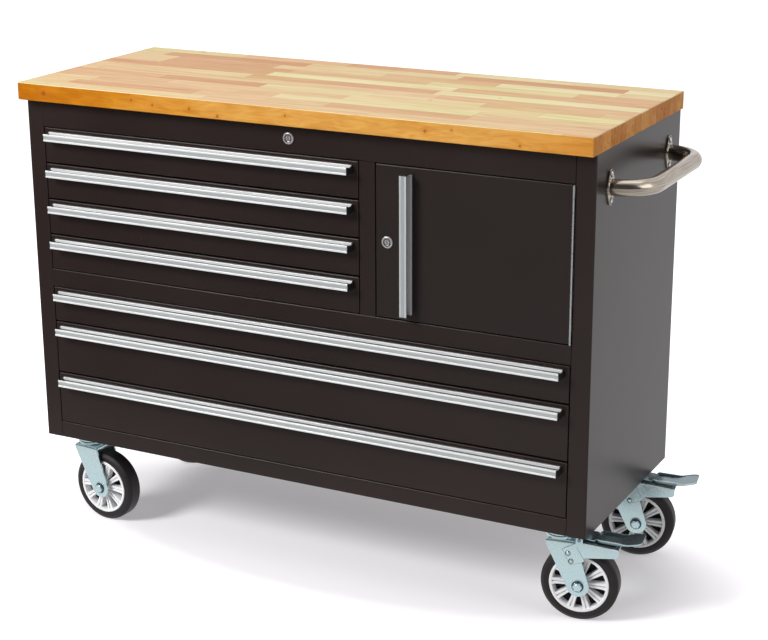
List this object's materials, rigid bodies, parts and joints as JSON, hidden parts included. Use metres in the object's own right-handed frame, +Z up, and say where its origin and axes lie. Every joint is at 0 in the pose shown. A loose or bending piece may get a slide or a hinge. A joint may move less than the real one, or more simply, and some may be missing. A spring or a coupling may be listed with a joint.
{
  "type": "rolling tool chest workbench",
  "caption": "Wheeled steel tool bench with narrow and wide drawers, a hinged door compartment, a thick wooden worktop, a side push handle and swivel casters.",
  "frame": {"origin": "centre of the bench's own box, on the floor the wheels stand on", "axes": "+X along the bench towards the push handle, -Y the drawer side, +Z up"},
  "size_m": [1.3056, 0.4836, 0.9456],
  "materials": {
    "cabinet_paint": "satin black powder coat",
    "drawer_paint": "satin black powder coat",
    "door_paint": "satin black powder coat",
    "slide_zinc": "zinc plated",
    "worktop_wood": "clear lacquered butcher block",
    "handle_steel": "polished stainless tube",
    "pull_aluminium": "satin anodised",
    "hinge_steel": "zinc plated",
    "lock_chrome": "polished",
    "caster_zinc": "bluish zinc plating",
    "rim_silver": "bright silver",
    "tyre_rubber": "matt black"
  },
  "bodies": {
    "cabinet": {"cabinet_shell": "cabinet_paint", "bottom_rail": "cabinet_paint", "mid_rail": "cabinet_paint", "top_rail": "cabinet_paint", "centre_stile": "cabinet_paint", "deck_panel": "cabinet_paint", "divider_panel": "slide_zinc", "upper_left_rack": "slide_zinc", "lower_left_rack": "slide_zinc", "lower_right_rack": "slide_zinc", "worktop": "worktop_wood", "push_handle": "handle_steel", "hinge_frame_leaf": "hinge_steel", "hinge_pin": "hinge_steel", "rail_lock_barrel": "lock_chrome", "front_left_plate": "caster_zinc", "front_right_plate": "caster_zinc", "rear_left_plate": "caster_zinc", "rear_right_plate": "caster_zinc"},
    "drawer_1_body": {"drawer_1": "drawer_paint", "drawer_1_pull": "pull_aluminium"},
    "drawer_2_body": {"drawer_2": "drawer_paint", "drawer_2_pull": "pull_aluminium"},
    "drawer_3_body": {"drawer_3": "drawer_paint", "drawer_3_pull": "pull_aluminium"},
    "drawer_4_body": {"drawer_4": "drawer_paint", "drawer_4_pull": "pull_aluminium"},
    "drawer_5_body": {"drawer_5": "drawer_paint", "drawer_5_pull": "pull_aluminium"},
    "drawer_6_body": {"drawer_6": "drawer_paint", "drawer_6_pull": "pull_aluminium"},
    "drawer_7_body": {"drawer_7": "drawer_paint", "drawer_7_pull": "pull_aluminium"},
    "door_body": {"door": "door_paint", "door_pull": "pull_aluminium", "door_lock_barrel": "lock_chrome", "hinge_door_leaf": "hinge_steel"},
    "rail_lock_turning": {"rail_lock_plug": "lock_chrome"},
    "door_lock_turning": {"door_lock_plug": "lock_chrome"},
    "front_left_swivelling": {"front_left_fork": "caster_zinc", "front_left_axle": "caster_zinc"},
    "front_left_wheel": {"front_left_rim": "rim_silver", "front_left_tyre": "tyre_rubber"},
    "front_right_swivelling": {"front_right_fork": "caster_zinc", "front_right_axle": "caster_zinc", "front_right_brake_cover": "caster_zinc"},
    "front_right_wheel": {"front_right_rim": "rim_silver", "front_right_tyre": "tyre_rubber"},
    "front_right_pressing": {"front_right_pedal": "caster_zinc"},
    "rear_left_swivelling": {"rear_left_fork": "caster_zinc", "rear_left_axle": "caster_zinc"},
    "rear_left_wheel": {"rear_left_rim": "rim_silver", "rear_left_tyre": "tyre_rubber"},
    "rear_right_swivelling": {"rear_right_fork": "caster_zinc", "rear_right_axle": "caster_zinc", "rear_right_brake_cover": "caster_zinc"},
    "rear_right_wheel": {"rear_right_rim": "rim_silver", "rear_right_tyre": "tyre_rubber"},
    "rear_right_pressing": {"rear_right_pedal": "caster_zinc"}
  },
  "joints": [
    {"name": "drawer_1_slide", "type": "slide", "parent": "cabinet", "child": "drawer_1_body", "axis": [0, -1, 0], "range_m": [0, 0.36]},
    {"name": "drawer_2_slide", "type": "slide", "parent": "cabinet", "child": "drawer_2_body", "axis": [0, -1, 0], "range_m": [0, 0.36]},
    {"name": "drawer_3_slide", "type": "slide", "parent": "cabinet", "child": "drawer_3_body", "axis": [0, -1, 0], "range_m": [0, 0.36]},
    {"name": "drawer_4_slide", "type": "slide", "parent": "cabinet", "child": "drawer_4_body", "axis": [0, -1, 0], "range_m": [0, 0.36]},
    {"name": "drawer_5_slide", "type": "slide", "parent": "cabinet", "child": "drawer_5_body", "axis": [0, -1, 0], "range_m": [0, 0.36]},
    {"name": "drawer_6_slide", "type": "slide", "parent": "cabinet", "child": "drawer_6_body", "axis": [0, -1, 0], "range_m": [0, 0.36]},
    {"name": "drawer_7_slide", "type": "slide", "parent": "cabinet", "child": "drawer_7_body", "axis": [0, -1, 0], "range_m": [0, 0.36]},
    {"name": "door_hinge", "type": "hinge", "parent": "cabinet", "child": "door_body", "pos_m": [0.5247, -0.22005, 0.5608], "axis": [0, 0, 1], "range_deg": [0, 110]},
    {"name": "rail_lock_turn", "type": "hinge", "parent": "cabinet", "child": "rail_lock_turning", "pos_m": [-0.0463, -0.21725, 0.8833], "axis": [0, 1, 0], "range_deg": [0, 90]},
    {"name": "door_lock_turn", "type": "hinge", "parent": "door_body", "child": "door_lock_turning", "pos_m": [0.1599, -0.21725, 0.7073], "axis": [0, 1, 0], "range_deg": [0, 90]},
    {"name": "front_left_swivel", "type": "hinge", "parent": "cabinet", "child": "front_left_swivelling", "pos_m": [-0.5803, -0.15825, 0.1], "axis": [0, 0, 1], "continuous": true},
    {"name": "front_left_spin", "type": "hinge", "parent": "front_left_swivelling", "child": "front_left_wheel", "pos_m": [-0.54046, -0.16174, 0.075], "axis": [-0.0872, -0.9962, 0], "continuous": true},
    {"name": "front_right_swivel", "type": "hinge", "parent": "cabinet", "child": "front_right_swivelling", "pos_m": [0.4947, -0.15825, 0.1], "axis": [0, 0, 1], "continuous": true},
    {"name": "front_right_spin", "type": "hinge", "parent": "front_right_swivelling", "child": "front_right_wheel", "pos_m": [0.5342, -0.15199, 0.075], "axis": [0.1564, -0.9877, 0], "continuous": true},
    {"name": "front_right_pedal_press", "type": "hinge", "parent": "front_right_swivelling", "child": "front_right_pressing", "pos_m": [0.53519, -0.15184, 0.1695], "axis": [-0.1564, 0.9877, 0], "range_deg": [0, 4.5]},
    {"name": "rear_left_swivel", "type": "hinge", "parent": "cabinet", "child": "rear_left_swivelling", "pos_m": [-0.5803, 0.16275, 0.1], "axis": [0, 0, 1], "continuous": true},
    {"name": "rear_left_spin", "type": "hinge", "parent": "rear_left_swivelling", "child": "rear_left_wheel", "pos_m": [-0.54753, 0.18569, 0.075], "axis": [0.5736, -0.8191, 0], "continuous": true},
    {"name": "rear_right_swivel", "type": "hinge", "parent": "cabinet", "child": "rear_right_swivelling", "pos_m": [0.4947, 0.16275, 0.1], "axis": [0, 0, 1], "continuous": true},
    {"name": "rear_right_spin", "type": "hinge", "parent": "rear_right_swivelling", "child": "rear_right_wheel", "pos_m": [0.53409, 0.1697, 0.075], "axis": [0.1736, -0.9848, 0], "continuous": true},
    {"name": "rear_right_pedal_press", "type": "hinge", "parent": "rear_right_swivelling", "child": "rear_right_pressing", "pos_m": [0.53507, 0.16987, 0.1695], "axis": [-0.1736, 0.9848, 0], "range_deg": [0, 4.5]}
  ]
}
